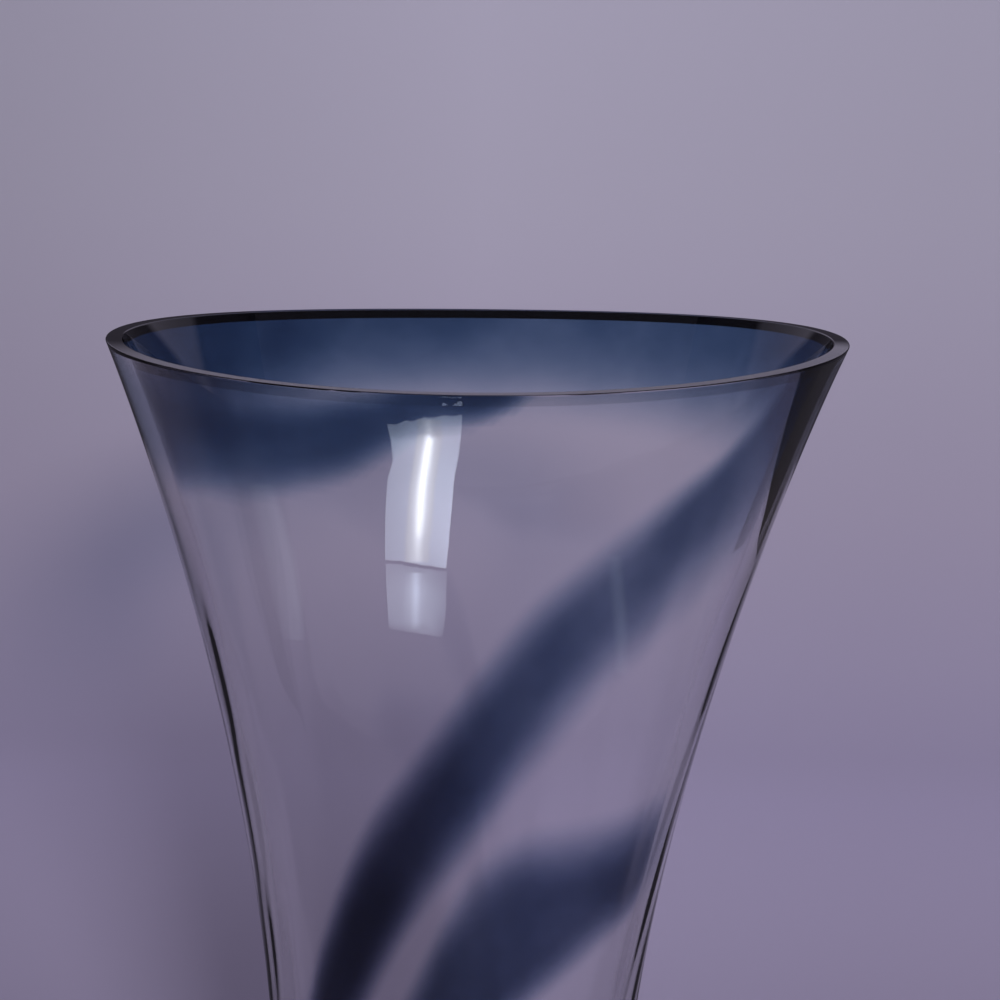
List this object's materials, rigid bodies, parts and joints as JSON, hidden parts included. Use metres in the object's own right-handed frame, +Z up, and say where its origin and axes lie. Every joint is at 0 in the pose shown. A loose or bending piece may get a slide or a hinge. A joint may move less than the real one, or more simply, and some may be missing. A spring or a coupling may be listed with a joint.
{
  "type": "art glass vase",
  "caption": "Tall flared vase of clear cased glass, with a blue trail that climbs the wall and wraps the mouth, a dark lip and a heavy base.",
  "frame": {"origin": "centre of the foot, in the plane that the vase rests on", "axes": "+Z up along the vase's axis to the mouth, -Y towards the front where the trail crosses the wall, +X to the right as seen from the front"},
  "size_m": [0.1908, 0.1888, 0.3038],
  "materials": {
    "clear_glass": "clear blown glass, fire polished, with faint waves",
    "blue_glass": "deep blue transparent glass, soft towards its edges",
    "dark_lip_glass": "nearly black blue glass, cut flat on top with small polished edges"
  },
  "bodies": {
    "root": {"inner_gather": "clear_glass", "blue_trail": "blue_glass", "short_trail": "blue_glass", "outer_casing": "clear_glass", "lip_wrap": "dark_lip_glass"}
  },
  "joints": []
}
